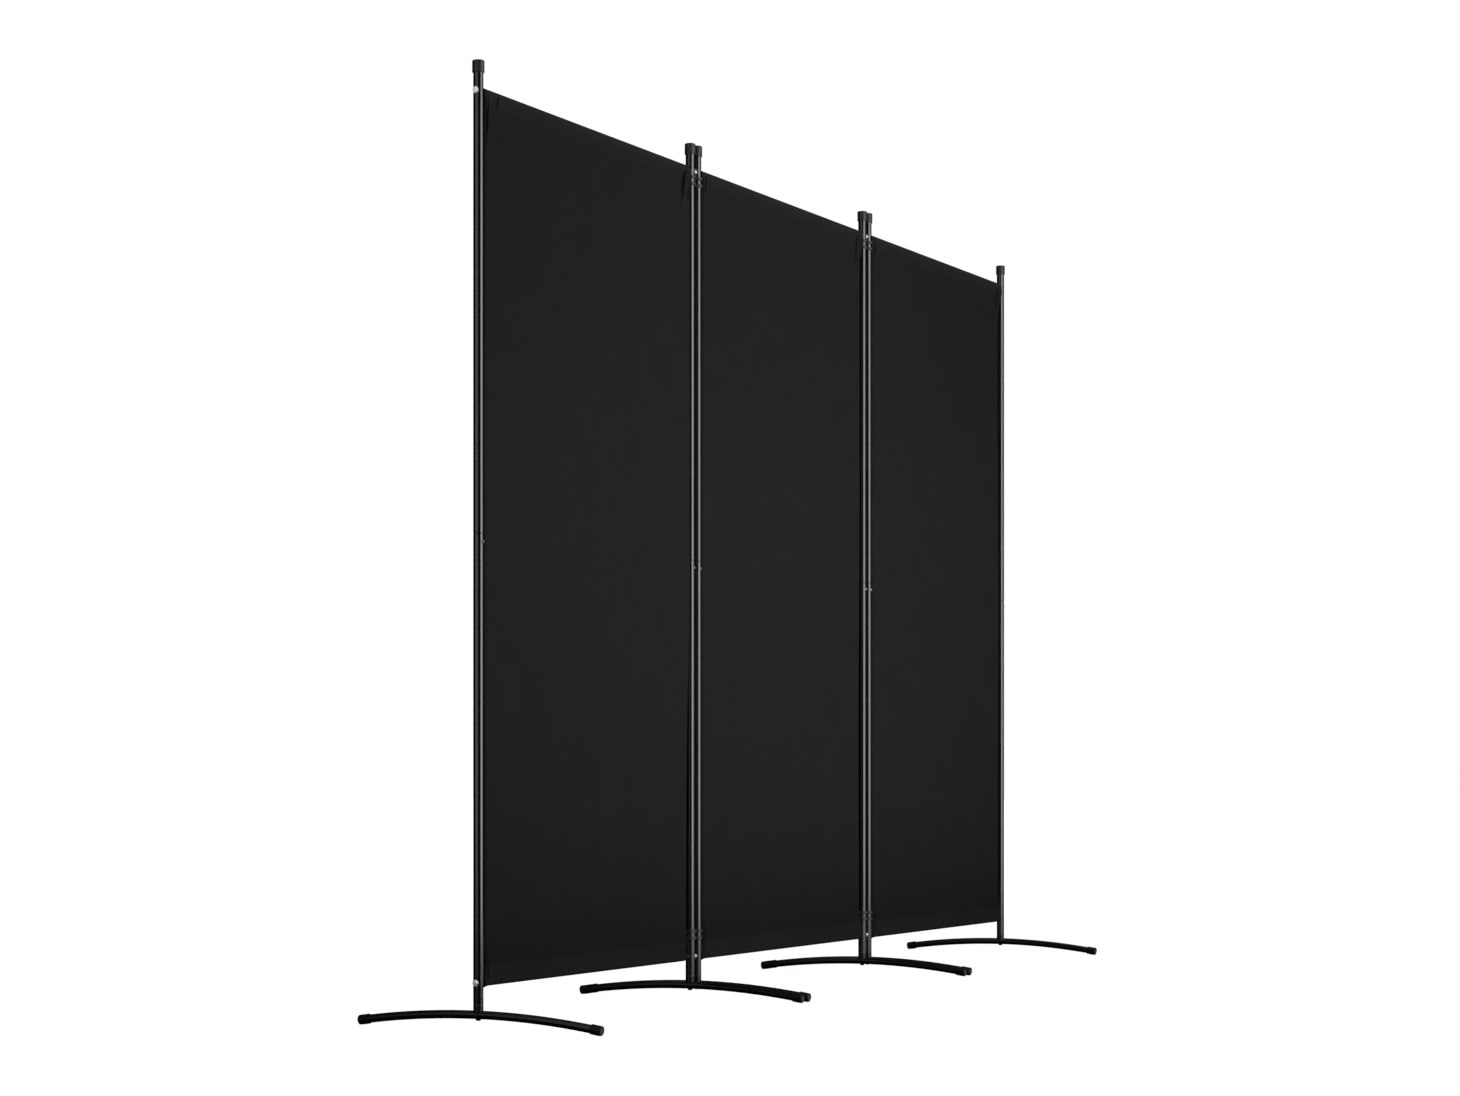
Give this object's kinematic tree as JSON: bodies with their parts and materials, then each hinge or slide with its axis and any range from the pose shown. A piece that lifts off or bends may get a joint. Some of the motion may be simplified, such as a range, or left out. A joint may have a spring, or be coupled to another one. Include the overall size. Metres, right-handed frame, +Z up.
{
  "type": "folding room divider screen",
  "caption": "Free-standing folding screen: cloth panels on slim tube frames joined by hinge clips, each upright on an arched swivelling foot.",
  "frame": {"origin": "on the floor under the middle of the opened screen", "axes": "+X along the opened screen, +Y to the back, +Z up; the cloth is on the front of the rails"},
  "size_m": [2.5876, 0.5324, 1.803],
  "materials": {
    "black_powder_coat": "semi-gloss powder coat",
    "black_moulding": "matt moulded plastic",
    "insert_nylon": "plain nylon",
    "zinc_plated_steel": "bright zinc plating",
    "screen_cloth": "matt woven polyester"
  },
  "bodies": {
    "middle_panel": {"upright_3_upper": "black_powder_coat", "upright_3_lower": "black_powder_coat", "upright_4_upper": "black_powder_coat", "upright_4_lower": "black_powder_coat", "middle_rail_top": "black_powder_coat", "middle_rail_bottom": "black_powder_coat", "middle_cloth": "screen_cloth", "middle_top_caps": "black_moulding", "middle_rail_bolts": "zinc_plated_steel", "middle_nylon_parts": "insert_nylon"},
    "left_panel": {"upright_1_upper": "black_powder_coat", "upright_1_lower": "black_powder_coat", "upright_2_upper": "black_powder_coat", "upright_2_lower": "black_powder_coat", "left_rail_top": "black_powder_coat", "left_rail_bottom": "black_powder_coat", "left_cloth": "screen_cloth", "left_top_caps": "black_moulding", "left_rail_bolts": "zinc_plated_steel", "left_nylon_parts": "insert_nylon"},
    "right_panel": {"upright_5_upper": "black_powder_coat", "upright_5_lower": "black_powder_coat", "upright_6_upper": "black_powder_coat", "upright_6_lower": "black_powder_coat", "right_rail_top": "black_powder_coat", "right_rail_bottom": "black_powder_coat", "right_cloth": "screen_cloth", "right_top_caps": "black_moulding", "right_rail_bolts": "zinc_plated_steel", "right_nylon_parts": "insert_nylon"},
    "left_clips": {"left_clip_top": "black_moulding", "left_clip_bottom": "black_moulding"},
    "right_clips": {"right_clip_top": "black_moulding", "right_clip_bottom": "black_moulding"},
    "foot_1": {"foot_1_frame": "black_powder_coat", "foot_1_caps": "black_moulding", "foot_1_bolt": "zinc_plated_steel"},
    "foot_2": {"foot_2_frame": "black_powder_coat", "foot_2_caps": "black_moulding", "foot_2_bolt": "zinc_plated_steel"},
    "foot_3": {"foot_3_frame": "black_powder_coat", "foot_3_caps": "black_moulding", "foot_3_bolt": "zinc_plated_steel"},
    "foot_4": {"foot_4_frame": "black_powder_coat", "foot_4_caps": "black_moulding", "foot_4_bolt": "zinc_plated_steel"},
    "foot_5": {"foot_5_frame": "black_powder_coat", "foot_5_caps": "black_moulding", "foot_5_bolt": "zinc_plated_steel"},
    "foot_6": {"foot_6_frame": "black_powder_coat", "foot_6_caps": "black_moulding", "foot_6_bolt": "zinc_plated_steel"},
    "button_1": {"snap_button_1": "zinc_plated_steel"},
    "button_2": {"snap_button_2": "zinc_plated_steel"},
    "button_3": {"snap_button_3": "zinc_plated_steel"},
    "button_4": {"snap_button_4": "zinc_plated_steel"},
    "button_5": {"snap_button_5": "zinc_plated_steel"},
    "button_6": {"snap_button_6": "zinc_plated_steel"}
  },
  "joints": [
    {"name": "left_clip_hinge", "type": "hinge", "parent": "middle_panel", "child": "left_clips", "pos_m": [-0.417, 0, 0.9], "axis": [0, 0, 1], "range_deg": [-90, 90]},
    {"name": "left_panel_hinge", "type": "hinge", "parent": "left_clips", "child": "left_panel", "pos_m": [-0.447, 0, 0.9], "axis": [0, 0, 1], "range_deg": [-90, 90]},
    {"name": "right_clip_hinge", "type": "hinge", "parent": "middle_panel", "child": "right_clips", "pos_m": [0.417, 0, 0.9], "axis": [0, 0, 1], "range_deg": [-90, 90]},
    {"name": "right_panel_hinge", "type": "hinge", "parent": "right_clips", "child": "right_panel", "pos_m": [0.447, 0, 0.9], "axis": [0, 0, 1], "range_deg": [-90, 90]},
    {"name": "foot_1_swivel", "type": "hinge", "parent": "left_panel", "child": "foot_1", "pos_m": [-1.281, 0, 0.04683], "axis": [0, 0, 1], "range_deg": [-90, 90]},
    {"name": "foot_2_swivel", "type": "hinge", "parent": "left_panel", "child": "foot_2", "pos_m": [-0.447, 0, 0.04683], "axis": [0, 0, 1], "range_deg": [-90, 90]},
    {"name": "foot_3_swivel", "type": "hinge", "parent": "middle_panel", "child": "foot_3", "pos_m": [-0.417, 0, 0.04683], "axis": [0, 0, 1], "range_deg": [-90, 90]},
    {"name": "foot_4_swivel", "type": "hinge", "parent": "middle_panel", "child": "foot_4", "pos_m": [0.417, 0, 0.04683], "axis": [0, 0, 1], "range_deg": [-90, 90]},
    {"name": "foot_5_swivel", "type": "hinge", "parent": "right_panel", "child": "foot_5", "pos_m": [0.447, 0, 0.04683], "axis": [0, 0, 1], "range_deg": [-90, 90]},
    {"name": "foot_6_swivel", "type": "hinge", "parent": "right_panel", "child": "foot_6", "pos_m": [1.281, 0, 0.04683], "axis": [0, 0, 1], "range_deg": [-90, 90]},
    {"name": "button_1_press", "type": "hinge", "parent": "left_panel", "child": "button_1", "pos_m": [-1.281, -0.00663, 0.863], "axis": [-1, 0, 0], "range_deg": [0, 4.46], "stiffness_Nm_per_rad": 2, "springref_deg": -1.15},
    {"name": "button_2_press", "type": "hinge", "parent": "left_panel", "child": "button_2", "pos_m": [-0.447, -0.00663, 0.863], "axis": [-1, 0, 0], "range_deg": [0, 4.46], "stiffness_Nm_per_rad": 2, "springref_deg": -1.15},
    {"name": "button_3_press", "type": "hinge", "parent": "middle_panel", "child": "button_3", "pos_m": [-0.417, -0.00663, 0.863], "axis": [-1, 0, 0], "range_deg": [0, 4.46], "stiffness_Nm_per_rad": 2, "springref_deg": -1.15},
    {"name": "button_4_press", "type": "hinge", "parent": "middle_panel", "child": "button_4", "pos_m": [0.417, -0.00663, 0.863], "axis": [-1, 0, 0], "range_deg": [0, 4.46], "stiffness_Nm_per_rad": 2, "springref_deg": -1.15},
    {"name": "button_5_press", "type": "hinge", "parent": "right_panel", "child": "button_5", "pos_m": [0.447, -0.00663, 0.863], "axis": [-1, 0, 0], "range_deg": [0, 4.46], "stiffness_Nm_per_rad": 2, "springref_deg": -1.15},
    {"name": "button_6_press", "type": "hinge", "parent": "right_panel", "child": "button_6", "pos_m": [1.281, -0.00663, 0.863], "axis": [-1, 0, 0], "range_deg": [0, 4.46], "stiffness_Nm_per_rad": 2, "springref_deg": -1.15}
  ],
  "couplings": [
    {"joint": "foot_2_swivel", "follows": "left_panel_hinge", "ratio": -1},
    {"joint": "foot_3_swivel", "follows": "left_clip_hinge", "ratio": 1},
    {"joint": "foot_4_swivel", "follows": "right_clip_hinge", "ratio": 1},
    {"joint": "foot_5_swivel", "follows": "right_panel_hinge", "ratio": -1}
  ]
}
